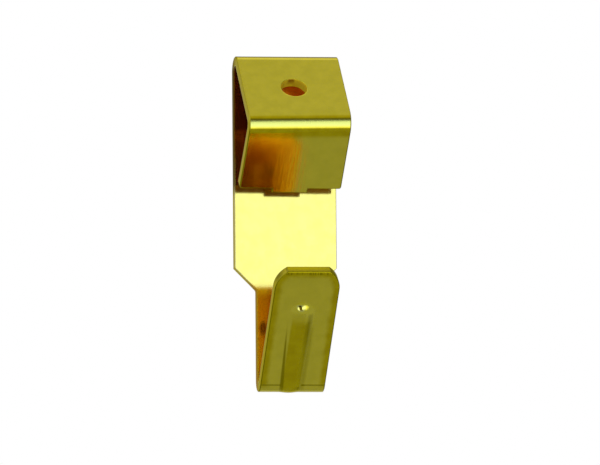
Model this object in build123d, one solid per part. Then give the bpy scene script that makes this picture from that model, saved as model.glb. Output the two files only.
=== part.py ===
from build123d import *
import math
import os

os.makedirs("parts", exist_ok=True)

# Sheet and bends, radii on the inside of each bend
SHEET = 1.1
TOP_BEND_INNER = 0.65
NOSE_BEND_INNER = 0.65
HOOK_BEND_INNER = 0.3

# Strip outline
STRIP_WIDTH = 12.0
OVERALL_HEIGHT = 38.9
TONGUE_WIDTH = 7.65
TONGUE_OFFSET = 0.39
SHOULDER_HEIGHT = 14.4
SHOULDER_ANGLE = 45.0
NECK_RADIUS = 0.5
RIM_RADIUS = 0.12

# Folded head, slopes measured off the vertical
HEAD_REACH = 9.85
TOP_SLOPE = 43.0
UNDER_SLOPE = 45.5
HEAD_EDGE_REACH = 3.6
HEAD_CORNER_RADIUS = 0.3
STUB_WIDTH = 4.2
STUB_LENGTH = 0.6

# Nail holes
NAIL_HOLE_DIAMETER = 3.0
NAIL_HOLE_SETBACK = 4.85
NAIL_DIAMETER = 2.0
NAIL_CLEARANCE = 0.1

# Hook lip
LIP_SLOPE = 39.5
LIP_LENGTH = 15.8
LIP_CORNER_RADIUS = 3.0
LIP_CORNER_DROP = 2.5

# Pressed bead up the lip
BEAD_WIDTH = 2.6
BEAD_HEIGHT = 0.33
BEAD_OFFSET = 0.12
BEAD_TOP_MARGIN = 5.0
BEAD_RUNOUT = 0.4
BEAD_RUNOUT_ANGLE = 100.0
BEAD_ROOT = 0.33
BEAD_BLEND = 0.6
GROOVE_BREAKOUT = 0.05

# Two lengths that differ by less than this share count as the same
SAME_LENGTH = 1e-6

# Outer bend radii
TOP_BEND = TOP_BEND_INNER + SHEET
NOSE_BEND = NOSE_BEND_INNER + SHEET
HOOK_BEND = HOOK_BEND_INNER + SHEET

# Directions in the side view, where the first number runs forward and the second runs up
TOP_ANGLE = math.radians(TOP_SLOPE)
UNDER_ANGLE = math.radians(UNDER_SLOPE)
LIP_ANGLE = math.radians(LIP_SLOPE)
TOP_DOWN = Vector(math.sin(TOP_ANGLE), -math.cos(TOP_ANGLE))
TOP_NORMAL = Vector(math.cos(TOP_ANGLE), math.sin(TOP_ANGLE))
UNDER_DOWN = Vector(-math.sin(UNDER_ANGLE), -math.cos(UNDER_ANGLE))
UNDER_NORMAL = Vector(math.cos(UNDER_ANGLE), -math.sin(UNDER_ANGLE))
LIP_UP = Vector(math.sin(LIP_ANGLE), math.cos(LIP_ANGLE))
LIP_NORMAL = Vector(math.cos(LIP_ANGLE), -math.sin(LIP_ANGLE))

# Points on the outer faces in the side view
TOP_BEND_CENTRE = Vector(TOP_BEND, OVERALL_HEIGHT - TOP_BEND)
TOP_START = TOP_BEND_CENTRE + TOP_NORMAL * TOP_BEND
NOSE_CENTRE_REACH = HEAD_REACH - NOSE_BEND
TOP_LENGTH = (NOSE_CENTRE_REACH + TOP_NORMAL.X * NOSE_BEND - TOP_START.X) / TOP_DOWN.X
TOP_END = TOP_START + TOP_DOWN * TOP_LENGTH
NOSE_CENTRE = TOP_END - TOP_NORMAL * NOSE_BEND
UNDER_START = NOSE_CENTRE + UNDER_NORMAL * NOSE_BEND
UNDER_LENGTH = (HEAD_EDGE_REACH - UNDER_START.X) / UNDER_DOWN.X
UNDER_END = UNDER_START + UNDER_DOWN * UNDER_LENGTH
HOOK_BEND_CENTRE = Vector(HOOK_BEND, HOOK_BEND)
LIP_START = HOOK_BEND_CENTRE + LIP_NORMAL * HOOK_BEND
NAIL_HOLE_CENTRE = TOP_START + TOP_DOWN * NAIL_HOLE_SETBACK

# The nail runs square to the sloping top face, so its exit through the plate lies lower
NAIL_EXIT_HEIGHT = NAIL_HOLE_CENTRE.Y - (NAIL_HOLE_CENTRE.X - SHEET / 2) * math.tan(TOP_ANGLE)
NAIL_EXIT_SPREAD = SHEET * math.tan(TOP_ANGLE)
NAIL_EXIT_DIAMETER = NAIL_DIAMETER / math.cos(TOP_ANGLE) + NAIL_EXIT_SPREAD + 2 * NAIL_CLEARANCE
HOLE_CUT = 3 * SHEET

# Section of the bead, an arc on the outside and a concentric one inside
BEAD_ARC = (BEAD_WIDTH ** 2 / 4 + BEAD_HEIGHT ** 2) / (2 * BEAD_HEIGHT)
GROOVE_ARC = BEAD_ARC - SHEET
BEAD_ARC_DEPTH = BEAD_ARC - BEAD_HEIGHT
GROOVE_HALF_WIDTH = math.sqrt(GROOVE_ARC ** 2 - (BEAD_ARC_DEPTH - SHEET) ** 2)
BEAD_STRAIGHT = LIP_LENGTH - BEAD_TOP_MARGIN - BEAD_WIDTH / 2

SIDE = Plane(origin=(0, 0, 0), x_dir=(0, -1, 0), z_dir=(-1, 0, 0))
FRONT = Plane.XZ


def in_space(point, across=0.0):
    """Place a side-view point at a distance across the strip."""
    return Vector(across, -point.X, point.Y)


def strip_of(path, width, side, across=0.0):
    """Thicken a side-view path into sheet and widen it across the strip."""
    section = make_face(offset(path, SHEET, side=side))
    return Pos(across, 0, 0) * extrude(SIDE * section, width / 2, both=True)


def head():
    """Top bend, sloping top face, nose bend and under face down to the free edge."""
    top_bend = JernArc((0, TOP_BEND_CENTRE.Y), (0, 1), TOP_BEND, TOP_SLOPE - 180)
    top_face = Line(TOP_START, TOP_END)
    nose_bend = JernArc(TOP_END, TOP_DOWN, NOSE_BEND, -TOP_SLOPE - UNDER_SLOPE)
    under_face = Line(UNDER_START, UNDER_END)
    body = strip_of(Wire([top_bend, top_face, nose_bend, under_face]), STRIP_WIDTH, Side.RIGHT)
    corners = body.edges().filter_by(Axis(in_space(UNDER_END), in_space(UNDER_NORMAL)))
    return fillet(corners, HEAD_CORNER_RADIUS)


def stub():
    """Short stub left in the middle of the head's free edge."""
    path = Line(UNDER_END, UNDER_END + UNDER_DOWN * STUB_LENGTH)
    return strip_of(Wire([path]), STUB_WIDTH, Side.RIGHT)


def back_plate():
    """Flat plate against the wall, narrowing by two sloping shoulders to the tongue."""
    half = STRIP_WIDTH / 2
    left = TONGUE_OFFSET - TONGUE_WIDTH / 2
    right = TONGUE_OFFSET + TONGUE_WIDTH / 2
    fall = math.tan(math.radians(90 - SHOULDER_ANGLE))
    left_neck = (left, SHOULDER_HEIGHT - (half + left) * fall)
    right_neck = (right, SHOULDER_HEIGHT - (half - right) * fall)
    outline = Polyline(
        (-half, TOP_BEND_CENTRE.Y),
        (-half, SHOULDER_HEIGHT),
        left_neck,
        (left, HOOK_BEND),
        (right, HOOK_BEND),
        right_neck,
        (half, SHOULDER_HEIGHT),
        (half, TOP_BEND_CENTRE.Y),
        close=True,
    )
    face = make_face(outline)
    necks = [face.vertices().sort_by_distance(point)[0] for point in (left_neck, right_neck)]
    return extrude(FRONT * fillet(necks, NECK_RADIUS), SHEET)


def hook_bend():
    """Bend that turns the tongue forward and up into the lip."""
    path = JernArc((0, HOOK_BEND), (0, -1), HOOK_BEND, 180 - LIP_SLOPE)
    return strip_of(Wire([path]), TONGUE_WIDTH, Side.LEFT, TONGUE_OFFSET)


def lip():
    """Flat lip with two large corner arcs that meet the top edge at an angle."""
    half = TONGUE_WIDTH / 2
    spring = LIP_LENGTH - LIP_CORNER_DROP
    sweep = math.degrees(math.asin(LIP_CORNER_DROP / LIP_CORNER_RADIUS))
    inset = LIP_CORNER_RADIUS * (1 - math.cos(math.radians(sweep)))
    outline = Wire([
        Line((-half, 0), (-half, spring)),
        CenterArc((LIP_CORNER_RADIUS - half, spring), LIP_CORNER_RADIUS, 180 - sweep, sweep),
        Line((inset - half, LIP_LENGTH), (half - inset, LIP_LENGTH)),
        CenterArc((half - LIP_CORNER_RADIUS, spring), LIP_CORNER_RADIUS, 0, sweep),
        Line((half, spring), (half, 0)),
        Line((half, 0), (-half, 0)),
    ])
    plane = Plane(in_space(LIP_START, TONGUE_OFFSET), (1, 0, 0), in_space(LIP_NORMAL))
    return extrude(plane * make_face(outline), -SHEET)


def crosses_sheet(edge):
    """True for a straight edge that runs through the thickness of the sheet."""
    return edge.geom_type == GeomType.LINE and math.isclose(edge.length, SHEET, rel_tol=SAME_LENGTH)


def with_worn_rim(strip):
    """Small rounding along every sheared edge, on both faces of the sheet."""
    sheared = [face for face in strip.faces() if face.edges().filter_by(crosses_sheet)]
    rim = [edge for face in sheared for edge in face.edges() if not crosses_sheet(edge)]
    return fillet(rim, RIM_RADIUS)


def bead_plane(rise):
    """Plane across the lip at a height up it, facing down the lip, on the bead's line."""
    return Plane(in_space(LIP_START + LIP_UP * rise, BEAD_OFFSET), (1, 0, 0), in_space(LIP_UP * -1))


def arc_section(radius, chord_depth):
    """Cap of the bead's circle outside a chord, depths measured into the sheet."""
    circle = Pos(0, -BEAD_ARC_DEPTH) * Circle(radius)
    window = Rectangle(2 * BEAD_ARC, 2 * BEAD_ARC, align=(Align.CENTER, Align.MIN))
    return circle & Pos(0, -chord_depth) * window


def dome(plane, section):
    """Rounded end of the bead, half its section turned about the sheet's normal."""
    half = section & Rectangle(2 * BEAD_ARC, 4 * BEAD_ARC, align=(Align.MIN, Align.CENTER))
    return revolve(plane * half, Axis(plane.origin, in_space(LIP_NORMAL)), 360)


def ridge():
    """Outer face of the bead, domed at the top and running out round the hook bend."""
    section = arc_section(BEAD_ARC, BEAD_ROOT)
    bottom = bead_plane(0)
    top = bead_plane(BEAD_STRAIGHT)
    bar = extrude(bottom * section, -BEAD_STRAIGHT)
    run_out_centre = LIP_START - LIP_NORMAL * (HOOK_BEND - BEAD_RUNOUT)
    run_out = revolve(bottom * section, Axis(in_space(run_out_centre), (1, 0, 0)), BEAD_RUNOUT_ANGLE)
    return bar + dome(top, section) + run_out


def groove():
    """Hollow behind the bead that keeps the sheet one thickness, rounded at both ends."""
    section = arc_section(GROOVE_ARC, SHEET + GROOVE_BREAKOUT)
    bottom = bead_plane(GROOVE_HALF_WIDTH)
    top = bead_plane(BEAD_STRAIGHT)
    bar = extrude(bottom * section, GROOVE_HALF_WIDTH - BEAD_STRAIGHT)
    return bar + dome(top, section) + dome(bottom, section)


def with_bead(strip):
    """The bead pressed out of the sheet, its foot blended into the lip and the bend."""
    raised = ridge()
    body = strip + raised
    foot = new_edges(strip, raised, combined=body)
    return fillet(foot, BEAD_BLEND) - groove()


def with_nail_holes(strip):
    """Both nail holes, the outer one with its mouth drawn in by the punch."""
    body = strip - nail_hole() - nail_exit()
    mouth = body.edges().filter_by(GeomType.CIRCLE).sort_by_distance(in_space(NAIL_HOLE_CENTRE))[0]
    return fillet(mouth, RIM_RADIUS)


def nail_hole():
    """Round hole square through the sloping top face."""
    plane = Plane(in_space(NAIL_HOLE_CENTRE), (1, 0, 0), in_space(TOP_NORMAL))
    return plane * Cylinder(NAIL_HOLE_DIAMETER / 2, HOLE_CUT)


def nail_exit():
    """Round hole through the plate, wide enough for the slanting nail."""
    plane = Plane(in_space(Vector(0, NAIL_EXIT_HEIGHT)), (1, 0, 0), (0, 1, 0))
    return plane * Cylinder(NAIL_EXIT_DIAMETER / 2, HOLE_CUT)


def wall_hook():
    """The whole folded strip, moved so the nail exit on the wall face is the origin."""
    strip = with_worn_rim(head() + stub() + back_plate() + hook_bend() + lip())
    return Pos(0, 0, -NAIL_EXIT_HEIGHT) * with_nail_holes(with_bead(strip))


hook = wall_hook()
export_step(hook, "parts/wall_hook.step")
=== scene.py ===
# %% [markdown]
# A wall hook folded from one strip of polished brass, shown floating on white as in a shop photograph.
# The strip is punched flat, a bead is pressed into its narrow end, and three bends close the head and
# turn the lip. It could be modelled as it stands, but then every bend, rim and mark would have to be
# worked out in space. So it is made the way the real one is: points are laid out on the flat strip, which
# is easy to reason about, and one folding rule then carries every point into space.

# %% Load the measured model
import bpy
import math
import numpy as np
from mathutils import Matrix


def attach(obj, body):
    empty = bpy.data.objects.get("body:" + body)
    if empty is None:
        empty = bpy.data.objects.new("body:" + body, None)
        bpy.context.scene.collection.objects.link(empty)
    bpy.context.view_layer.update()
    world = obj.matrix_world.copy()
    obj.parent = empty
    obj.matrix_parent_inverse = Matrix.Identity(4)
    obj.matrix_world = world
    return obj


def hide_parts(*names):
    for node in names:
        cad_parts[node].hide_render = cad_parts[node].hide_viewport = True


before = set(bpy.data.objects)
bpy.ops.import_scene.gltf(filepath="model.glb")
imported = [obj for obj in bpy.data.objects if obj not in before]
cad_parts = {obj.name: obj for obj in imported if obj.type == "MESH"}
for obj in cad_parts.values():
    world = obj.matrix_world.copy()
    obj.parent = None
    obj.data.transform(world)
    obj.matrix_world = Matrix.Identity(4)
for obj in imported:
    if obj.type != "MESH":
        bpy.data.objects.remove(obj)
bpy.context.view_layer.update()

# %% [markdown]
# The sizes below are those of the solid model, in millimetres and degrees. A bend is known by the radius
# of its outer face, because the outer face is the one that a folding tool leaves smooth.

# %% Sizes of the strip and its folds
MM = 0.001
SHEET = 1.1
HALF_WIDTH = 6.0
TONGUE_HALF, TONGUE_OFFSET = 3.825, 0.39
TONGUE_LEFT, TONGUE_RIGHT = TONGUE_OFFSET - TONGUE_HALF, TONGUE_OFFSET + TONGUE_HALF
HEIGHT = 38.9
NOSE_REACH = 9.85
EDGE_REACH = 3.6
TOP_SLOPE, UNDER_SLOPE, LIP_SLOPE = np.radians([43.0, 45.5, 39.5])
INNER_HEAD_BEND, INNER_HOOK_BEND = 0.65, 0.3
NOSE_BEND = TOP_BEND = INNER_HEAD_BEND + SHEET
HOOK_BEND = INNER_HOOK_BEND + SHEET
LIP_LENGTH = 15.8
print("sheet", SHEET, "mm, height", HEIGHT, "mm, outer bends", NOSE_BEND, TOP_BEND, HOOK_BEND)

# %% [markdown]
# The outer face seen from the side is a chain of straight runs and arcs, all turning the same way. The
# corners of that side view follow from the reaches and slopes: first the top face, then the nose bend
# that it runs into, then the under face up to the free edge of the head.

# %% Corners of the side view, as forward and up
along_top = np.array([math.sin(TOP_SLOPE), -math.cos(TOP_SLOPE)])
out_of_top = np.array([math.cos(TOP_SLOPE), math.sin(TOP_SLOPE)])
along_under = np.array([math.sin(UNDER_SLOPE), math.cos(UNDER_SLOPE)])
out_of_under = np.array([math.cos(UNDER_SLOPE), -math.sin(UNDER_SLOPE)])

top_start = np.array([TOP_BEND, HEIGHT - TOP_BEND]) + TOP_BEND * out_of_top
nose_centre_reach = NOSE_REACH - NOSE_BEND
top_length = (nose_centre_reach + NOSE_BEND * out_of_top[0] - top_start[0]) / along_top[0]
top_end = top_start + top_length * along_top
under_start = top_end - NOSE_BEND * out_of_top + NOSE_BEND * out_of_under
under_length = (under_start[0] - EDGE_REACH) / along_under[0]
free_edge = under_start - under_length * along_under
print("free edge, forward and up in mm:", free_edge.round(3))

# %% [markdown]
# Each run is described by its length and by its turning per millimetre, which is nought on a straight
# run. Numbered from the free edge of the head to the tip of the lip, they give every place on the strip
# one number, the distance along it. From here on a capital name such as PLATE is where that run begins.

# %% Lengths of the runs along the strip
run_length = np.array([
    under_length,
    NOSE_BEND * (TOP_SLOPE + UNDER_SLOPE),
    top_length,
    TOP_BEND * (math.pi - TOP_SLOPE),
    HEIGHT - TOP_BEND - HOOK_BEND,
    HOOK_BEND * (math.pi - LIP_SLOPE),
    LIP_LENGTH,
])
run_turn = np.array([0.0, 1 / NOSE_BEND, 0.0, 1 / TOP_BEND, 0.0, 1 / HOOK_BEND, 0.0])
run_start = np.concatenate([[0.0], np.cumsum(run_length)[:-1]])
UNDER, NOSE, TOP, CREST, PLATE, HOOK, LIP = run_start
STRIP_END = LIP + LIP_LENGTH
print("strip length in mm:", round(float(STRIP_END), 3))

# %% [markdown]
# A bend could be cut into short flats, but then the polish would show them as facets. With length and
# turning known, the end of any stretch has an exact formula, so a point may lie anywhere on the strip.

# %% Walk along the runs once to find where each begins
def step(point, heading, turn, length):
    """A run of constant turning: its chord is length times sinc of half the angle, at the mean heading."""
    half = turn * length / 2
    chord = length * np.sinc(half / math.pi)
    ahead = np.stack([np.cos(heading + half), np.sin(heading + half)], axis=-1)
    return point + chord[..., None] * ahead, heading + 2 * half


run_point, run_heading = [free_edge], [math.pi / 2 - UNDER_SLOPE]
for turn, length in zip(run_turn[:-1], run_length[:-1]):
    point, heading = step(run_point[-1], run_heading[-1], turn, np.array(length))
    run_point.append(point)
    run_heading.append(heading)
run_point, run_heading = np.array(run_point), np.array(run_heading)
print("starts of the runs, forward and up in mm:", run_point.round(2).tolist())

# %% [markdown]
# A nail is driven through the head on a slant, square to the top face, and leaves through the plate lower
# down. The middle of that exit, on the wall, is the origin of the whole part. The slanted nail needs a
# wider hole in the plate: its own width over the cosine, and the sheet's thickness times the tangent.

# %% The nail's line
HOLE_SETBACK, HOLE_R = 4.85, 1.5
NAIL, CLEARANCE = 2.0, 0.1
hole_point = top_start + HOLE_SETBACK * along_top
EXIT_HEIGHT = hole_point[1] - (hole_point[0] - SHEET / 2) * math.tan(TOP_SLOPE)
EXIT_R = (NAIL / math.cos(TOP_SLOPE) + SHEET * math.tan(TOP_SLOPE)) / 2 + CLEARANCE
HOLE_S = CREST - HOLE_SETBACK
EXIT_S = PLATE + (HEIGHT - TOP_BEND) - EXIT_HEIGHT
print("exit hole", round(EXIT_HEIGHT, 3), "mm up, radius", round(EXIT_R, 3))

# %% [markdown]
# The bead is a rib pressed outwards up the middle of the lip, to stiffen it. It could be a tube joined to
# the sheet, but a height added to a flat sheet keeps the grid in one piece. Its section is part of a
# circle and its upper end is a dome. A rounded maximum joins rib and sheet without a crease, since
# pressed metal never has a sharp foot. This rib also grows towards its upper end, where the sheet gave
# way more easily.

# %% Section of the bead
BEAD_X, BEAD_LEAN = 0.12, 0.012
BEAD_HALF, BEAD_HEIGHT = 1.3, 0.33
BEAD_ARC = (BEAD_HALF ** 2 + BEAD_HEIGHT ** 2) / (2 * BEAD_HEIGHT)
BEAD_DEPTH = BEAD_ARC - BEAD_HEIGHT
TAPER_AT, TAPER = [0.0, 4.0, 9.0], [0.16, 0.09, 0.0]


def rounded_max(value, width):
    """The larger of the value and nought, with a parabola of the given width joining the two."""
    share = np.clip(0.5 + 0.5 * value / width, 0, 1)
    return value * share + width * share * (1 - share)


def rib(s, x, radius, depth, low, straight):
    """Height of a circle's cap over the sheet: root of radius squared less distance squared, less depth.
    The distance is from a spine that ends in two half circles, and a taper is taken off the height."""
    along = s - LIP
    past = np.maximum(along - straight, 0) + np.minimum(s - low, 0)
    away = np.minimum(np.hypot(past, x - BEAD_X - BEAD_LEAN * along), radius)
    return np.sqrt(radius ** 2 - away ** 2) - depth - np.interp(along, TAPER_AT, TAPER)


print("circle of the bead's section in mm:", round(BEAD_ARC, 3))

# %% [markdown]
# The bead sinks away round the hook's bend. There its circle keeps its size about a centre shifted by the
# runout, so it dies into the bend by itself. The hollow behind it follows a smaller circle with the same
# centre, which keeps the brass one thickness. The punch left a small dimple in the dome.

# %% Both faces of the bead
BEAD_STRAIGHT, BEAD_RUNOUT, RUNOUT_ANGLE = 10.0, 0.22, math.pi - LIP_SLOPE
BEAD_BLEND, LOWEST_CAP = 0.2, -0.3
HOLLOW_LOW, HOLLOW_STRAIGHT, HOLLOW_BLEND = 0.98, 9.8, 0.08
DIMPLE_S, DIMPLE_X, DIMPLE_R, DIMPLE_DEPTH = 11.0, -0.12, 0.22, 0.07


def outer_bead(s, x):
    """On the lip the cap itself. Round the bend, the reach of the cap's circle about its shifted centre, less
    the bend's own radius. The dimple is a bell curve, depth times e to the minus distance squared."""
    cap = np.maximum(rib(np.maximum(s, LIP), x, BEAD_ARC, BEAD_DEPTH, LIP, BEAD_STRAIGHT), LOWEST_CAP)
    angle = np.clip((LIP - s) / HOOK_BEND, 0, RUNOUT_ANGLE)
    radius = HOOK_BEND - BEAD_RUNOUT + cap
    reach = BEAD_RUNOUT * np.cos(angle) + np.sqrt(radius ** 2 - (BEAD_RUNOUT * np.sin(angle)) ** 2)
    dimple = DIMPLE_DEPTH * np.exp(-((s - LIP - DIMPLE_S) ** 2 + (x - DIMPLE_X) ** 2) / DIMPLE_R ** 2)
    return rounded_max(reach - HOOK_BEND, BEAD_BLEND) - dimple


def inner_bead(s, x):
    """The same cap on the circle one sheet smaller, starting above the bend."""
    hollow = rib(s, x, BEAD_ARC - SHEET, BEAD_DEPTH - SHEET, LIP + HOLLOW_LOW, HOLLOW_STRAIGHT)
    return rounded_max(hollow, HOLLOW_BLEND)


half_way = np.array([LIP + LIP_LENGTH / 2]), np.array([BEAD_X])
print("bead and hollow half way up the lip in mm:", outer_bead(*half_way), inner_bead(*half_way))

# %% [markdown]
# A cheap pressed part is never quite square. On this one the bends lean a little, most of all the nose.
# The lower face of the head has sprung open by a fifth of a millimetre at its free edge, and is a little
# full where the nose bend dies away into it. None of it shows as a shape, but all of it moves what the
# polish mirrors, so it belongs in the folding rule.

# %% The folding rule
LEAN_AT = [UNDER, (UNDER + NOSE) / 2, (NOSE + TOP) / 2, TOP + 2, CREST + 1, PLATE + 3, STRIP_END]
LEAN = [0.006, 0.017, 0.027, 0.025, 0.012, 0.012, 0.013]
FULLNESS, SPRING = 0.018, 0.20


def fold(flat):
    """Flat points (along, across, depth into the sheet) to space: walk the run, then step inwards, square to
    it. With u the share of the way from the free edge to the nose, the fullness rises as 27/4 times u squared
    times (1 - u) and the spring falls as 1 - u. The lean lifts each point by its distance across."""
    s, x, depth = flat[..., 0], flat[..., 1], flat[..., 2]
    run = np.clip(np.searchsorted(run_start, s, side="right") - 1, 0, len(run_start) - 1)
    point, heading = step(run_point[run], run_heading[run], run_turn[run], s - run_start[run])
    share = depth / SHEET
    u = np.clip(s / NOSE, 0, 1)
    sunk = depth - (1 - share) * outer_bead(s, x) - share * inner_bead(s, x)
    sunk = sunk - FULLNESS * 27 / 4 * u ** 2 * (1 - u) - SPRING * (1 - u)
    forward = point[..., 0] - np.sin(heading) * sunk
    up = point[..., 1] + np.cos(heading) * sunk + np.interp(s, LEAN_AT, LEAN) * x
    return np.stack([x, -forward, up - EXIT_HEIGHT], axis=-1) * MM


print("middle of the lip's tip in metres:", fold(np.array([[STRIP_END, 0.0, 0.0]])).round(5))

# %% [markdown]
# The outline of the flat strip is a closed line: two small corners and a stub at the head's free edge,
# straight sides, two sloping shoulders with a filleted neck, and the big corner arcs of the lip. The stub
# is what the press leaves where the blank hung on the coil. A bevelled curve could draw it, but here the
# line is walked once with exactly the points where the rows and columns of the faces will meet it.

# %% Sides of the outline
CORNER, NECK, LIP_CORNER, LIP_DROP = 0.3, 0.5, 3.0, 2.5
SHOULDER_HEIGHT = 14.4
SHOULDER = PLATE + (HEIGHT - TOP_BEND) - SHOULDER_HEIGHT
WINDOW, WINDOW_CELLS = 2.6, 40
CORNER_CELLS, SLOPE_CELLS, NECK_CELLS, CROWN_CELLS = 5, 16, 6, 20


def rows(*stops):
    """Evenly spaced stations between stops, given as place, cells, place, cells, place."""
    places, cells = stops[0::2], stops[1::2]
    parts = [np.linspace(start, end, count + 1)[:-1] for start, end, count in zip(places, places[1:], cells)]
    return np.concatenate(parts + [[places[-1]]])


def side(edge, tongue):
    """One side from the free edge to the lip's top: arc, line, slope, fillet arc, line, arc. The slope runs
    at 45 degrees, so its fillet begins the radius times the tangent of an eighth of pi before the corner."""
    way = math.copysign(1, edge)
    turn = np.linspace(0, math.pi / 2, CORNER_CELLS + 1)[:-1]
    corner = np.stack([CORNER * (1 - np.cos(turn)), edge - way * CORNER * (1 - np.sin(turn))], axis=1)
    head_s = rows(CORNER, 22, NOSE, 40, TOP, 8, HOLE_S - WINDOW, WINDOW_CELLS, HOLE_S + WINDOW, 9, CREST)
    plate_s = rows(CREST, 56, PLATE, 12, EXIT_S - WINDOW, WINDOW_CELLS, EXIT_S + WINDOW, 24, SHOULDER)
    wide_s = np.concatenate([head_s[:-1], plate_s[:-1]])
    wide = np.stack([wide_s, np.full(wide_s.shape, edge)], axis=1)
    fall = abs(edge - tongue)
    tangent = NECK * math.tan(math.pi / 8)
    drop = np.linspace(0, fall - tangent * math.sqrt(0.5), SLOPE_CELLS + 1)[:-1]
    slope = np.stack([SHOULDER + drop, edge - way * drop], axis=1)
    turn = np.linspace(math.pi / 4, math.pi / 2, NECK_CELLS + 1)[:-1]
    neck_s = SHOULDER + fall + tangent
    neck = np.stack([neck_s - NECK * np.cos(turn), tongue + way * NECK * (1 - np.sin(turn))], axis=1)
    crown_start = STRIP_END - LIP_DROP
    narrow_s = rows(neck_s, 28, HOOK, 64, LIP, 96, crown_start)[:-1]
    narrow = np.stack([narrow_s, np.full(narrow_s.shape, tongue)], axis=1)
    turn = np.linspace(0, math.asin(LIP_DROP / LIP_CORNER), CROWN_CELLS + 1)
    crown_x = tongue - way * LIP_CORNER * (1 - np.cos(turn))
    crown = np.stack([crown_start + LIP_CORNER * np.sin(turn), crown_x], axis=1)
    return np.concatenate([corner, wide, slope, neck, narrow, crown])


left, right = side(-HALF_WIDTH, TONGUE_LEFT), side(HALF_WIDTH, TONGUE_RIGHT)
print("rows along the strip:", len(left))

# %% [markdown]
# Across the strip the columns are the same at every row, only drawn together where the strip narrows. One
# column meets each side of the stub and one each side of the square windows round the nail holes, so
# those places have clean borders.

# %% Columns across the strip
SETBACK = 0.16
STUB_HALF, STUB_LENGTH = 2.1, 0.6
BESIDE_STUB, TOLERANCE = 2.25, 0.01
squeeze = (HALF_WIDTH - CORNER) / (HALF_WIDTH - SETBACK)
stub_column = (STUB_HALF - SETBACK) / squeeze
half_x = np.concatenate([
    rows(0, 15, stub_column),
    rows(BESIDE_STUB, 4, WINDOW, 16, HALF_WIDTH - SETBACK),
])
column_x = np.concatenate([-half_x[:0:-1], half_x])
share = (column_x - column_x[0]) / (column_x[-1] - column_x[0])
in_stub = np.abs(column_x) < stub_column + TOLERANCE
print("columns across the strip:", len(column_x), "of which in the stub:", int(in_stub.sum()))

# %% [markdown]
# Sheared metal is never razor sharp: the press rounds its rim by a tenth of a millimetre, and that rim is
# what catches the light in a photograph. A Bevel modifier could round it, but not by one radius on the
# outer face and another on the inner. So the outline is closed here and set back along the mitre of its
# sides, once for the flat faces and later for the rim.

# %% The closed outline and the way inwards
def between(start, end, shares):
    """Points at the given shares of the straight way from start to end."""
    return np.array(start) + np.asarray(shares)[:, None] * (np.array(end) - np.array(start))


free_x = column_x * squeeze
free_right = np.stack([np.zeros(len(free_x)), free_x], axis=1)[free_x > STUB_HALF][:-1][::-1]
thirds = np.array([0.0, 1 / 3, 2 / 3])
stub_x = free_x[in_stub]
stub_end = np.stack([np.full(len(stub_x), -STUB_LENGTH), [STUB_HALF, *stub_x[-2:0:-1], -STUB_HALF]], axis=1)
outline = np.concatenate([
    left,
    between(left[-1], right[-1], share)[1:-1],
    right[::-1],
    free_right,
    between((0, STUB_HALF), (-STUB_LENGTH, STUB_HALF), thirds),
    stub_end,
    between((0, -STUB_HALF), (-STUB_LENGTH, -STUB_HALF), thirds)[::-1],
    (free_right * [1, -1])[::-1],
])


def mitres(loop):
    """At each corner of the loop, the step that moves both of its sides inwards by one: the sum of their
    inward normals over one plus the normals' dot product."""
    ahead = np.roll(loop, -1, axis=0) - loop
    ahead /= np.linalg.norm(ahead, axis=1, keepdims=True)
    normal = np.stack([-ahead[:, 1], ahead[:, 0]], axis=1)
    before = np.roll(normal, 1, axis=0)
    return (normal + before) / (1 + np.sum(normal * before, axis=1, keepdims=True))


mitre = mitres(outline)
inner = outline + SETBACK * mitre
print("points round the outline:", len(outline))

# %% [markdown]
# A patch is a grid of points on the flat strip. One parameter counts its rows and another its columns, so
# its quads follow the strip and stay neat where it is bent. Neighbouring patches share their border
# points, and are welded once all of them are there.

# %% A store of patches
patches = []


def add_patch(points, keep=None):
    """Store a grid of flat points with the quads between its rows and columns, or those that keep marks."""
    count = points.shape[0] * points.shape[1]
    index = np.arange(count).reshape(points.shape[:2])
    quads = np.stack([index[:-1, :-1], index[:-1, 1:], index[1:, 1:], index[1:, :-1]], axis=-1)
    quads = quads[keep] if keep is not None else quads.reshape(-1, 4)
    patches.append((points.reshape(-1, 3), quads))
    print("patch of", points.shape[0], "by", points.shape[1], "points with", len(quads), "quads")


def at_depth(flat, depth):
    """Flat points at one depth in the sheet."""
    return np.concatenate([flat, np.full(flat.shape[:-1] + (1,), depth)], axis=-1)


print("depth of the outer and inner face in mm:", 0.0, SHEET)

# %% [markdown]
# The two faces are the same grid at two depths, the inner one turned over so that it looks the other way.
# Each row runs from the left side of the outline to the right. The first and last rows are set apart,
# because they follow the free edge and the tip. The windows round the nail holes are left open.

# %% Faces of the sheet
count = len(left)
last = count + len(column_x) - 2
inner_left, inner_right = inner[:count], inner[last:last + count][::-1]
sheet_grid = inner_left[:, None] + share[None, :, None] * (inner_right - inner_left)[:, None]
sheet_grid[-1, 1:-1] = inner[count:last]
sheet_grid[0, 1:-1] = np.stack([np.full(len(free_x), SETBACK), free_x], axis=1)[1:-1]
middle_s = (sheet_grid[:-1, :-1, 0] + sheet_grid[1:, 1:, 0]) / 2
middle_x = (sheet_grid[:-1, :-1, 1] + sheet_grid[1:, 1:, 1]) / 2
beside_hole = np.minimum(np.abs(middle_s - HOLE_S), np.abs(middle_s - EXIT_S)) < WINDOW
in_window = (np.abs(middle_x) < WINDOW) & beside_hole
stub_s = np.array([SETBACK, *(-STUB_LENGTH * thirds[1:]), SETBACK - STUB_LENGTH])
stub_grid = np.stack(np.meshgrid(stub_s, stub_x, indexing="ij"), axis=-1)
for depth, facing in ((0.0, 1), (SHEET, -1)):
    add_patch(at_depth(sheet_grid, depth)[:, ::facing], ~in_window[:, ::facing])
    add_patch(at_depth(stub_grid, depth)[:, ::-facing])

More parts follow.
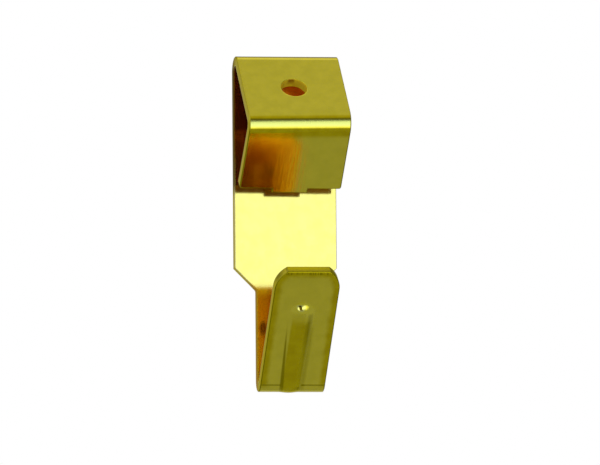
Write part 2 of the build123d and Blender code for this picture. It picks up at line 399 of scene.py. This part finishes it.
# %% [markdown]
# The rim and the cut wall are one profile carried along the outline: a short flat, a quarter round, the
# wall, a quarter round and a flat again. Each point of it is a pair, the distance in from the outline and
# the depth in the sheet. Shears roll the outer rim over and leave the inner one, the burr, nearly sharp.

# %% Rim and cut wall
RIM, BURR_RIM = 0.12, 0.05
ROUND_POINTS = 5
quarter = np.linspace(0, math.pi / 2, ROUND_POINTS)
rounding = np.stack([1 - np.sin(quarter), 1 - np.cos(quarter)], axis=1)
outer_rounding = rounding * RIM
burr_rounding = (rounding * BURR_RIM * [1, -1] + [0, SHEET])[::-1]
profile = np.concatenate([[[SETBACK, 0.0]], outer_rounding, burr_rounding, [[SETBACK, SHEET]]])
loop, loop_mitre = np.concatenate([outline, outline[:1]]), np.concatenate([mitre, mitre[:1]])
add_patch(np.concatenate([
    loop[:, None] + profile[None, :, :1] * loop_mitre[:, None],
    np.broadcast_to(profile[None, :, 1:], (len(loop), len(profile), 1)),
], axis=-1))

# %% [markdown]
# Cutting round holes out of a grid with a Boolean modifier leaves long thin faces, which polish shows up.
# So round each hole a ring patch joins the square window to the circle: every point of the window slides
# along its own ray. The inside becomes the wall, with a rounded mouth where the punch went in.

# %% Nail holes
RING_CELLS = 8


def square_loop():
    """Points round the window, at the places of the grid's rows and columns, first corner repeated."""
    across = column_x[np.abs(column_x) < WINDOW + TOLERANCE]
    along = np.linspace(-WINDOW, WINDOW, WINDOW_CELLS + 1)
    edge = np.full(WINDOW_CELLS + 1, WINDOW)
    sides = [np.stack(pair, axis=1)[:-1] for pair in (
        (-edge, across), (along, edge), (edge, across[::-1]), (along[::-1], -edge))]
    return np.concatenate(sides + [[[-WINDOW, -WINDOW]]])


def hole(centre_s, radius, mouth):
    """Rings from the window in to the circle on both faces, with each point sliding along its own ray, and
    the wall that joins them. The mouth is a quarter circle, one less sine and one less cosine of its turn."""
    square = square_loop()
    reach = np.linalg.norm(square, axis=1, keepdims=True)
    ray = square / reach
    rings = []
    for edge_radius, depth in ((radius + mouth, 0.0), (radius, SHEET)):
        slide = np.linspace(0, 1, RING_CELLS + 1)[:, None, None]
        rings.append(at_depth([centre_s, 0] + ray * (reach + slide * (edge_radius - reach)), depth))
    turn = np.linspace(0, math.pi / 2, ROUND_POINTS if mouth else 1)[:, None, None]
    wall = at_depth([centre_s, 0] + ray * (radius + mouth * (1 - np.sin(turn))), 0.0)
    wall[..., 2] = (mouth * (1 - np.cos(turn)))[..., 0]
    wall_end = at_depth([centre_s, 0] + ray * np.full((1, 1, 1), radius), SHEET)
    add_patch(rings[0][::-1])
    add_patch(np.concatenate([wall, wall_end])[::-1])
    add_patch(rings[1])


hole(HOLE_S, HOLE_R, RIM)
hole(EXIT_S, EXIT_R, 0.0)

# %% [markdown]
# Now the patches become one skin. Points that round to the same hundred-thousandth of a millimetre are
# one point. In a closed skin every edge is used by exactly two faces, which is counted here, because a
# gap that the eye misses would still leak light.

# %% Weld the patches
WELD_DECIMALS = 5
counts = np.cumsum([0] + [len(patch[0]) for patch in patches])
flat = np.concatenate([patch[0] for patch in patches])
quads = np.concatenate([patch[1] + start for patch, start in zip(patches, counts)])
_, first, welded = np.unique(np.round(flat, WELD_DECIMALS), axis=0, return_index=True, return_inverse=True)
flat, quads = flat[first], welded.reshape(-1)[quads]
used = np.unique(quads)
renumber = np.zeros(len(flat), dtype=int)
renumber[used] = np.arange(len(used))
flat, quads = flat[used], renumber[quads]
edges = np.sort(np.stack([quads, np.roll(quads, -1, axis=1)], axis=-1).reshape(-1, 2), axis=1)
_, uses = np.unique(edges, axis=0, return_counts=True)
print("points:", len(flat), "quads:", len(quads), "edges used other than twice:", int((uses != 2).sum()))

# %% [markdown]
# All the points are folded in one call and put into a mesh. Shading is smooth over the bends and the
# small roundings, and breaks only at real corners.

# %% Fold the strip into a mesh
CORNER_ANGLE = math.radians(40)
mesh = bpy.data.meshes.new("hook_strip")
mesh.from_pydata(fold(flat).tolist(), [], quads.tolist())
mesh.polygons.foreach_set("use_smooth", np.ones(len(mesh.polygons), dtype=bool))
mesh.set_sharp_from_angle(angle=CORNER_ANGLE)
print("mesh faces:", len(mesh.polygons))

# %% [markdown]
# The finish has to follow the strip round its bends, so each point keeps where it lay on the blank, as
# across, along and depth. It also keeps its distance from the outline, because the shears and the
# polishing wheel treat an edge differently from the middle. A UV map says the same for whoever paints
# over it.

# %% What each point remembers
BATCHES = 60


def to_outline(points):
    """Distance from each flat point to the closest point of the outline, in mm."""
    apart = points[:, None, :2] - outline[None]
    return np.hypot(apart[..., 0], apart[..., 1]).min(axis=1)


blank = mesh.attributes.new("blank", "FLOAT_VECTOR", "POINT")
blank.data.foreach_set("vector", flat[:, [1, 0, 2]].astype(np.float32).ravel())
distance = np.concatenate([to_outline(batch) for batch in np.array_split(flat, BATCHES)])
edge_gap = mesh.attributes.new("edge_gap", "FLOAT", "POINT")
edge_gap.data.foreach_set("value", distance.astype(np.float32))
corner_point = np.zeros(len(mesh.loops), dtype=int)
mesh.loops.foreach_get("vertex_index", corner_point)
uv = mesh.uv_layers.new(name="strip")
uv_place = flat[corner_point][:, [1, 0]] / STRIP_END + [0.5, 0.0]
uv.data.foreach_set("uv", uv_place.astype(np.float32).ravel())
mesh.validate()
print("attributes:", [attribute.name for attribute in mesh.attributes])

# %% [markdown]
# The mesh becomes one object. It rides on the part's only body, since nothing moves, and stands in for
# the one solid of the measured model. Its slot is named after the material, so that the brass can be
# exchanged.

# %% One object in place of the solid
hook = bpy.data.objects.new("hook_strip", mesh)
bpy.context.scene.collection.objects.link(hook)
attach(hook, "root")
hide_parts("wall_hook")
print("object:", hook.name, "with", len(mesh.vertices), "points")

# %% [markdown]
# Shader nodes can be wired by hand, but masks built from other masks soon become a thicket. Here a socket
# is wrapped in a small class whose operators add Math nodes, so that a mask reads like the formula it is.
# Every other node comes from one method, which makes its settings before it fills its sockets.

# %% A small language for shader nodes
def operator(operation, turned=False):
    """A method that adds one Math node to the tree. Turned, it takes the other value first."""
    def method(signal, *others):
        values = (signal, *others)
        ordered = values[::-1] if turned else values
        return signal.graph.add("ShaderNodeMath", {"operation": operation}, dict(enumerate(ordered)))
    return method


class Signal:
    """A socket that does sums, since each of its operators adds a Math node."""
    __add__, __radd__ = operator("ADD"), operator("ADD", turned=True)
    __sub__, __rsub__ = operator("SUBTRACT"), operator("SUBTRACT", turned=True)
    __mul__, __rmul__ = operator("MULTIPLY"), operator("MULTIPLY", turned=True)
    __pow__, __abs__ = operator("POWER"), operator("ABSOLUTE")

    def __init__(self, graph, socket):
        self.graph, self.socket = graph, socket


class Graph:
    """A node tree in which one method adds any node: its settings first, then its sockets."""

    def __init__(self, tree):
        self.tree = tree
        tree.nodes.clear()

    def add(self, kind, settings=None, sockets=None, output=0):
        """Add a node, give its sockets values or links, and return one of its outputs as a signal."""
        node = self.tree.nodes.new(kind)
        for name, value in (settings or {}).items():
            setattr(node, name, value)
        for name, value in (sockets or {}).items():
            if isinstance(value, Signal):
                self.tree.links.new(value.socket, node.inputs[name])
            else:
                node.inputs[name].default_value = value
        return Signal(self, node.outputs[output]) if node.outputs else None

    def others(self, signal, *names):
        """More outputs of the node that a signal comes from."""
        return [Signal(self, signal.socket.node.outputs[name]) for name in names]

    def ramp(self, value, start, end):
        """Smooth rise from nought at start to one at end: three times the square less twice the cube."""
        return self.add("ShaderNodeMapRange", {"interpolation_type": "SMOOTHSTEP"},
                        {"Value": value, "From Min": start, "From Max": end})

    def held(self, value):
        """The value held between nought and one."""
        return self.add("ShaderNodeClamp", {}, {"Value": value})

    def blend(self, share, first, second):
        """First times one less share, plus second times share. Each is a signal or red, green and blue."""
        pair = [colour if isinstance(colour, Signal) else (*colour, 1.0) for colour in (first, second)]
        return self.add("ShaderNodeMix", {"data_type": "RGBA"}, {0: share, 6: pair[0], 7: pair[1]}, output=2)


print("words of the language:", [word for word in vars(Graph) if not word.startswith("_")])

# %% [markdown]
# The brass. Its outer face is bright polish under a thin clear lacquer. Inside the folds the metal is
# given a deeper, browner yellow, painted shade and painted reflection of the folds facing one another,
# and the sheared wall is dull and pale. Painting images of all this would tie it to one size. So the finish
# is worked out from the place of each point on the blank, in millimetres: x across, s along from the head's
# free edge, and depth from the outer face. In the cells below each ramp is a mask that rises from its first
# place to its second, mostly in these millimetres, and each colour is linear red, green and blue.

# %% Where a point of the brass lies
brass = bpy.data.materials.new("polished_brass")
brass.use_nodes = True
mesh.materials.append(brass)
look = Graph(brass.node_tree)
place = look.add("ShaderNodeAttribute", {"attribute_name": "blank"}, output="Vector")
x = look.add("ShaderNodeSeparateXYZ", {}, {0: place})
s, depth = look.others(x, "Y", "Z")
gap = look.add("ShaderNodeAttribute", {"attribute_name": "edge_gap"}, output="Fac")
along = s - LIP
bead_side = x - BEAD_X - BEAD_LEAN * along
print("the lip begins at s =", round(float(LIP), 2), "mm and ends at", round(float(STRIP_END), 2))

# %% [markdown]
# Sheet comes from the mill with fine lines along it. The polishing wheel leaves broader streaks the same
# way, and handling leaves soft clouds. All three are one noise, stretched by different amounts: many
# cells a millimetre across the strip and few along it make lines. A fourth, fine both ways, is the torn
# grain of a cut.

# %% Marks of the mill and the wheel
CONTRAST = (0.3, 0.7)


def marks(across, lengthways, detail, layer):
    """Noise at x times across, s times lengthways and twice the depth, shifted to a layer of its own."""
    where = look.add("ShaderNodeCombineXYZ", {}, {
        "X": x * across, "Y": s * lengthways, "Z": depth * 2 + layer})
    return look.add("ShaderNodeTexNoise", {}, {
        "Vector": where, "Scale": 1.0, "Detail": detail, "Roughness": 0.6})


rolling = marks(7.0, 0.35, 4.0, 0.0)
streak = marks(1.6, 0.10, 2.0, 3.0)
cloud = marks(0.7, 0.7, 3.0, 7.0)
grain = marks(16.0, 9.0, 3.0, 13.0)
clouding = look.ramp(cloud, *CONTRAST)
streaks = look.ramp(streak, *CONTRAST)
print("nodes after the marks:", len(look.tree.nodes))

# %% [markdown]
# Where the metal was cut, it is neither polished nor lacquered. The cut places are known exactly: they
# lie within about a tenth of a millimetre of the outline, or of the nail hole's circle. The rim is rolled
# on the outer side, where it gets painted shade, and leaves a burr on the inner side, which gets a painted
# highlight.

# %% Cut places
SOFT = 0.01
across_hole = (x * x + (s - HOLE_S) * (s - HOLE_S)) ** 0.5
pierced = look.ramp(across_hole, HOLE_R + 0.06, HOLE_R + 0.02)
narrowing = look.ramp(depth, SHEET - 0.2, SHEET - 0.05) * 0.06
at_rim = look.ramp(gap + narrowing, RIM + SOFT, RIM - SOFT)
# the rolled rim's mask: it carries painted shade, a thin dark line in place of the light it would catch
rolled_rim_shade = at_rim * look.ramp(depth, 0.14, 0.04) * (1 - look.ramp(s, NOSE, TOP) * look.ramp(s, LIP, HOOK))
# the burr's mask: it carries a painted highlight
burr = at_rim * look.ramp(depth, SHEET - 0.14, SHEET - 0.05)
cut = look.held(at_rim + pierced)
print("nodes after the cut places:", len(look.tree.nodes))

# %% [markdown]
# What stands proud is rubbed first: the crest of the bead, the margin of the lip and the nose bend. The
# lacquer is worn off there, and the bare brass looks deeper. The margin is made uneven with the clouds,
# because wear never follows a ruler.

# %% Rubbed places
margin = look.ramp(gap + cloud * 0.5, 1.35, 0.65) * look.ramp(s, LIP - 0.5, LIP + 0.5)
crest = look.ramp(abs(bead_side), 1.20, 0.95) * look.ramp(along, 10.1, 8.3) * look.ramp(along, -1.5, 0.0)
nose = look.ramp(s, NOSE - 0.9, NOSE - 0.2) * look.ramp(s, NOSE + 2.35, NOSE + 2.05)
rubbed = look.held(crest + margin + nose)
print("nodes after the rubbed places:", len(look.tree.nodes))

# %% [markdown]
# Dark lines are painted along both feet of the bead and in the line that the folding tool left above the
# bend: painted shade of these creases. Grime sits in the scratches at the tip. The dimple in the bead's dome
# is painted almost black, painted shade that splits the dome's highlight.

# %% Painted shade in creases, grime in scratches
FOOT_X, FOOT_LEAN, FOOT_THINNING = -0.93, -0.046, 0.02
PIT_ALONG, PIT_X, PIT_SLANT = 10.8, -0.05, -0.37
above_bend = look.ramp(along, -1.2, 0.2)
foot_line = look.ramp(abs(x - FOOT_X - FOOT_LEAN * along) + along * FOOT_THINNING, 0.30, 0.12)
# painted shade along the feet of the bead and in the tool's line above the bend
left_foot_shade = foot_line * look.ramp(along, 9.5, 5.5) * above_bend
right_line = look.ramp(abs(bead_side - BEAD_HALF), 0.50, 0.10)
right_foot_shade = right_line * look.ramp(along, 9.5, 7.0) * above_bend
tool_line_shade = look.ramp(abs(along - 0.2), 0.14, 0.06) * look.ramp(abs(bead_side), 1.1, 1.4)
scuffs = look.ramp(abs(s - STRIP_END + 0.28), 0.25, 0.10) * look.ramp(rolling, 0.50, 0.58)
# the creases' painted shade together with the grime in the scratches at the tip
grime_and_shade = look.held(left_foot_shade * 0.9 + right_foot_shade * 0.4 + tool_line_shade * 0.7 + scuffs * 0.9)
# painted shade in the dimple, splitting the dome's highlight
pit_side = abs(x - PIT_X - PIT_SLANT * (along - PIT_ALONG))
pit_shade = look.ramp(pit_side, 0.22, 0.12) * look.ramp(abs(along - PIT_ALONG - 0.08), 0.36, 0.20)
print("nodes after the dirty places:", len(look.tree.nodes))

# %% [markdown]
# The outer face is two brasses laid over each other: the polished one and the worn one, each of two
# shades that the clouds mix. A band on the nose bend and the tip of the bead get a pale painted highlight,
# and the creases and the dimple get their painted shade.

# %% Colour of the outer face
past_dimple = along - DIMPLE_S
from_tip = (x * x + past_dimple * past_dimple) ** 0.5
# pale painted highlights on the tip of the bead and on a band of the nose bend
tip_highlight = look.ramp(from_tip, 0.65, 0.40) * look.ramp(along, 11.35, 11.10)
fold_highlight = look.ramp(s, NOSE + 0.6, NOSE + 1.1) * look.ramp(s, NOSE + 1.80, NOSE + 1.55)
polished = look.blend(clouding, (0.80, 0.735, 0.034), (0.88, 0.80, 0.044))
worn = look.blend(clouding, (0.63, 0.52, 0.002), (0.73, 0.63, 0.005))
outside = look.blend(rubbed, polished, worn)
with_highlights = look.blend(tip_highlight, outside, (0.84, 0.85, 0.22))
with_highlights = look.blend(fold_highlight, with_highlights, (0.68, 0.76, 0.20))
# painted shade in the creases, with grime in the scratches, then painted shade in the dimple
with_grime_and_shade = look.blend(grime_and_shade, with_highlights, (0.36, 0.31, 0.001))
outer_colour = look.blend(pit_shade, with_grime_and_shade, (0.10, 0.07, 0.002))
print("nodes after the outer face:", len(look.tree.nodes))

# %% [markdown]
# Inside the head the brass is painted brown in streaks along the strip, painted shade of the closed head. A
# redder painted pool of light lies where light falls through the nail hole, and the painted shade is darkest
# deep in the top bend.

# %% Colour inside the head
LIT_START, LIT_END, LIT_X = (14.0, 17.0), (29.0, 27.0), 0.9
# painted shade inside the head, a painted pool of light under the nail hole, darkest painted shade in the top
# bend
head_light_and_shade = look.blend(streaks, (0.46, 0.15, 0.004), (0.78, 0.34, 0.010))
light_from_hole = look.ramp(s, *LIT_START) * look.ramp(s, *LIT_END) * look.ramp(abs(x - LIT_X), 2.6, 1.8)
head_light_and_shade = look.blend(light_from_hole, head_light_and_shade, (0.95, 0.37, 0.010))
deep_shade = look.ramp(s, CREST, CREST + 2.0) * look.ramp(s, PLATE + 7.0, PLATE + 6.5) * look.ramp(gap, 3.0, 2.2)
head_light_and_shade = look.blend(deep_shade, head_light_and_shade, (0.30, 0.11, 0.006))
print("nodes after the head:", len(look.tree.nodes))

# %% [markdown]
# The tongue behind the lip is painted brown too, painted shade of the hollow behind the lip. Its edges
# get a painted reflection, lighter towards the bend, and one darker oval spot with a ragged border is
# painted shade.

# %% Colour of the tongue
TONGUE_START = (45.0, 48.0)
DARK_SPOT_X, DARK_SPOT_S, DARK_SPOT_STRETCH = -2.75, 54.0, 0.6
on_tongue = look.ramp(s, *TONGUE_START)
on_left = look.ramp(x, 1.0, -1.0)
# painted reflection on the tongue's edges, lighter towards the bend, over painted brown shade in its middle
left_edge_light = look.blend(look.ramp(s, 55.0, 58.5), (0.58, 0.45, 0.008), (1.0, 0.93, 0.018))
right_edge_light = look.blend(look.ramp(s, 54.6, 56.0), (0.58, 0.47, 0.008), (0.86, 0.78, 0.010))
edge_reflection = look.blend(on_left, right_edge_light, left_edge_light)
tongue = look.blend(look.ramp(gap, 1.6, 0.8), (0.48, 0.30, 0.008), edge_reflection)
# a darker oval spot of painted shade
spot_x, spot_s = x - DARK_SPOT_X, (s - DARK_SPOT_S) * DARK_SPOT_STRETCH
spot = (spot_x * spot_x + spot_s * spot_s) ** 0.5
tongue = look.blend(look.ramp(spot + cloud * 0.3, 0.85, 0.35), tongue, (0.17, 0.10, 0.003))
print("nodes after the tongue:", len(look.tree.nodes))

# %% [markdown]
# The inner face is put together along the strip: head, tongue, then the back of the lip, which is painted a
# warm orange brown, painted shade of the hook's hollow that is lighter near the edges. The plate between
# them faces forward in the open and is painted the palest brass of all, a painted highlight.

# %% Colour of the inner face
PLATE_FADES_IN, PLATE_FADES_OUT = (PLATE + 8.5, PLATE + 13.0), (49.6, 49.0)
# painted shade behind the lip, lighter towards the outline
lip_middle = look.blend(look.ramp(s, LIP + 5.0, STRIP_END), (0.62, 0.23, 0.005), (0.68, 0.25, 0.010))
lip_inside = look.blend(look.ramp(gap, 2.2, 1.0), lip_middle, (0.84, 0.37, 0.012))
shaded = look.blend(on_tongue, head_light_and_shade, tongue)
shaded = look.blend(look.ramp(s, HOOK, LIP), shaded, lip_inside)
plate = look.ramp(s, *PLATE_FADES_IN) * look.ramp(s, *PLATE_FADES_OUT)
# painted highlight: the open plate painted pale
plate_highlight = look.blend(clouding, (0.78, 0.76, 0.19), (0.86, 0.84, 0.23))
inner_colour = look.blend(plate, shaded, plate_highlight)
inside = look.ramp(depth, SHEET * 0.7, SHEET * 0.95)
faces = look.blend(inside, outer_colour, inner_colour)
print("nodes after the inner face:", len(look.tree.nodes))

# %% [markdown]
# The cut wall is pale and torn, and its burr carries a painted highlight. Beside the brown zones of painted
# shade it gets painted shade as they do, most of all in the head, and the tongue's left wall gets painted
# light, the lightest of them. The head's free edge and the lip's tip were broken off the coil, so each has
# its own colour, and the rolled rim is a thin dark line of painted shade. In the nail hole one side of the
# wall near the outer face is painted dark as shade, the rest bright as painted light.

# %% Colour of the cut walls
UNSHADED_WALL_START, UNSHADED_WALL_END = (37.0, 39.0), (49.5, 48.0)
sheared = look.blend(grain, (0.60, 0.52, 0.04), (0.86, 0.78, 0.08))
# painted highlight on the burr
burr_highlight = look.blend(burr, sheared, (1.0, 0.92, 0.50))
# painted shade on the walls beside the brown zones, none on the open stretch, painted light on the tongue's
# left wall
unshaded_wall = look.ramp(s, *UNSHADED_WALL_START) * look.ramp(s, *UNSHADED_WALL_END)
shaded_wall = look.ramp(s, CREST, PLATE) * look.ramp(s, LIP, HOOK) * (1 - unshaded_wall)
wall_light_and_shade = look.blend(on_tongue * on_left, (0.12, 0.065, 0.004), (0.62, 0.36, 0.016))
wall = look.blend(shaded_wall, burr_highlight, wall_light_and_shade)
wall = look.blend(look.ramp(s, 0.14, 0.10) * look.ramp(depth, 0.02, 0.05), wall, (0.50, 0.22, 0.010))
wall = look.blend(look.ramp(s, STRIP_END - 0.16, STRIP_END - 0.12), wall, (0.42, 0.38, 0.040))
# painted shade on the rolled rim
wall = look.blend(rolled_rim_shade, wall, (0.40, 0.35, 0.004))
# the nail hole's wall: one side painted dark as shade, the rest bright as painted light
lower_half = look.ramp(s, HOLE_S, HOLE_S + 1.0)
hole_wall_shade = look.ramp(abs(x + 0.1), 0.55, 0.2) * lower_half * look.ramp(depth, 0.9, 0.2)
hole_wall_light_and_shade = look.blend(hole_wall_shade, (1.0, 0.84, 0.050), (0.50, 0.28, 0.010))
walls = look.blend(pierced, wall, hole_wall_light_and_shade)
print("nodes after the walls:", len(look.tree.nodes))

# %% [markdown]
# Everything meets in one shader. Polish is a low roughness, made uneven by the marks. Cut and rubbed
# places, and those with grime or painted shade, have little lacquer left or none. The mill's lines are cut in
# by a bump of about two hundredths of a millimetre, too fine to be worth making as mesh.

# %% The brass put together
BUMP_DEPTH = 0.02
roughness = (0.08 + rolling * 0.05 + cloud * 0.04 + inside * (1 - plate) * 0.10
             + cut * 0.22 + pierced * 0.3 + fold_highlight * 0.14)
at_tip = look.ramp(from_tip, 0.75, 0.55)
lacquer = (1 - cut * 0.9) * (1 - rubbed * 0.85) * (1 - grime_and_shade) * (1 - pit_shade) * (1 - at_tip * 0.8)
height = rolling * 0.25 + streak * 0.6 + grain * 0.05 + cut * grain * 0.6
bump = look.add("ShaderNodeBump", {}, {
    "Strength": 1.0, "Distance": BUMP_DEPTH * MM, "Height": height}, output="Normal")
shader = look.add("ShaderNodeBsdfPrincipled", {}, {
    "Base Color": look.blend(cut, faces, walls), "Metallic": 1.0, "Roughness": roughness, "Normal": bump,
    "Specular Tint": (0.8, 0.7, 0.35, 1), "Coat Weight": lacquer, "Coat Roughness": 0.04, "Coat IOR": 1.4})
look.add("ShaderNodeOutputMaterial", {}, {"Surface": shader})
print("brass nodes:", len(look.tree.nodes))

# %% [markdown]
# The photograph was taken from far away with a long lens, a little from the left and from below, so the
# lower face of the head shows. The three angles and the scale were found by fitting the model's edges to
# the photograph's. The camera is turned first and then moved back along its own axis, which keeps the aim
# exact.

# %% Camera
AZIMUTH, ELEVATION, ROLL = np.radians([11.969, -6.5641, 0.41013])
DISTANCE, SENSOR, IMAGE_WIDTH, PIXELS_PER_MM = 2.5, 36.0, 600, 8.679
aim = np.array([0.574, -6.355, -11.439]) * MM
camera_turn = (Matrix.Rotation(-AZIMUTH, 4, "Z") @ Matrix.Rotation(math.pi / 2 - ELEVATION, 4, "X")
               @ Matrix.Rotation(-ROLL, 4, "Z"))
camera_data = bpy.data.cameras.new("camera")
camera_data.sensor_width = SENSOR
camera_data.lens = PIXELS_PER_MM / MM * SENSOR * DISTANCE / IMAGE_WIDTH
camera_data.clip_end = 10.0
camera = bpy.data.objects.new("camera", camera_data)
bpy.context.scene.collection.objects.link(camera)
camera.matrix_world = Matrix.Translation(aim) @ camera_turn @ Matrix.Translation((0, 0, DISTANCE))
bpy.context.scene.camera = camera
bpy.context.scene.view_settings.view_transform = "Standard"
print("lens in mm:", round(camera_data.lens, 1))

# %% [markdown]
# Polished metal has almost no look of its own: it shows the room. Lamps would give it hot points, so the
# room is one gradient in the world, read by direction and turned with the camera: a bright panel in front
# and below, a dim ceiling that is brighter at the back, a soft light at the left and dark sides. Each
# light is a product of smooth steps in height and side, and they add up. Height and side are parts of a
# direction one long, so each step lies between minus one and one.

# %% Lights of the room
world = bpy.data.worlds.new("studio_room")
world.use_nodes = True
bpy.context.scene.world = world
room = Graph(world.node_tree)
direction = room.add("ShaderNodeTexCoord", output="Generated")
east = room.add("ShaderNodeSeparateXYZ", {}, {0: direction})
north, high = room.others(east, "Y", "Z")
TURN = math.radians(12)
side_way = east * math.cos(TURN) + north * math.sin(TURN)
front = east * math.sin(TURN) - north * math.cos(TURN)
panel_edges = room.ramp(front, 0.0, 0.1) * room.ramp(abs(side_way), 0.40, 0.30)
panel = panel_edges * room.ramp(high, 0.24, 0.20) * room.ramp(high, -0.68, -0.55)
glow = room.ramp(front, 0.1, 0.3) * room.ramp(high, 0.0, -0.3)
ceiling = room.ramp(high, 0.50, 0.72)
rear = room.ramp(north, 0.3, 0.8) * room.ramp(high, 0.45, 0.15)
skylight = room.ramp(high, 0.75, 0.85) * room.ramp(north, 0.08, 0.3)
left_light = room.ramp(side_way, -0.6, -0.8) * room.ramp(high, -0.45, -0.15)
level = 0.14 + panel * 1.2 + glow * 0.20 + ceiling * 0.33 + rear * 0.38 + skylight * 0.3 + left_light * 0.5
print("nodes of the lights:", len(room.tree.nodes))

# %% [markdown]
# A shop photograph has a pure white background, which as a light would wash the brass out. So the camera
# sees white everywhere, while the metal sees white only in a round card straight behind the hook, along
# the camera's view, and the lights elsewhere. The ceiling is slightly warm, as painted boards are.

# %% White background and card
CARD_OUTER, CARD_INNER = math.radians(9), math.radians(7)
straight_behind = tuple(-camera_turn.col[2].to_3d())
towards_card = room.add("ShaderNodeVectorMath", {"operation": "DOT_PRODUCT"}, {
    0: direction, 1: straight_behind}, output="Value")
card = room.ramp(towards_card, math.cos(CARD_OUTER), math.cos(CARD_INNER))
camera_ray = room.add("ShaderNodeLightPath", output="Is Camera Ray")
glossy_ray, clear_ray = room.others(camera_ray, "Is Glossy Ray", "Is Transmission Ray")
white = room.held(camera_ray + clear_ray + glossy_ray * card)
warmth = room.blend(ceiling * (1.0 - camera_ray), (1, 1, 1), (1, 0.94, 0.75))
strength = level + white * (1.0 - level)
background = room.add("ShaderNodeBackground", {}, {"Color": warmth, "Strength": strength})
room.add("ShaderNodeOutputWorld", {}, {"Surface": background})
print("nodes of the room:", len(room.tree.nodes))

# %% [markdown]
# The floor is a pale matt board well below the hook, which hangs on a wall and stands on nothing. One
# quad is enough, and its fine grain is a noise on its own coordinates.

# %% Floor
REACH, LEVEL = 0.17, -0.35
corners = np.array([(-1, -1, 0), (1, -1, 0), (1, 1, 0), (-1, 1, 0)]) * REACH + np.array([0, 0, LEVEL])
board = bpy.data.meshes.new("floor")
board.from_pydata(corners.tolist(), [], [(0, 1, 2, 3)])
matt = bpy.data.materials.new("pale_board")
matt.use_nodes = True
board_look = Graph(matt.node_tree)
board_grain = board_look.add("ShaderNodeTexNoise", {}, {
    "Vector": board_look.add("ShaderNodeTexCoord", output="Object"), "Scale": 400.0, "Detail": 2.0})
shade = board_look.blend(board_grain, (0.66, 0.68, 0.68), (0.71, 0.73, 0.73))
board_shader = board_look.add("ShaderNodeBsdfPrincipled", {}, {"Base Color": shade, "Roughness": 0.9})
board_look.add("ShaderNodeOutputMaterial", {}, {"Surface": board_shader})
board.materials.append(matt)
floor = bpy.data.objects.new("floor", board)
bpy.context.scene.collection.objects.link(floor)
print("floor corners in metres:", corners.tolist())

# %% [markdown]
# The dressed hook must be as large as the measured one.
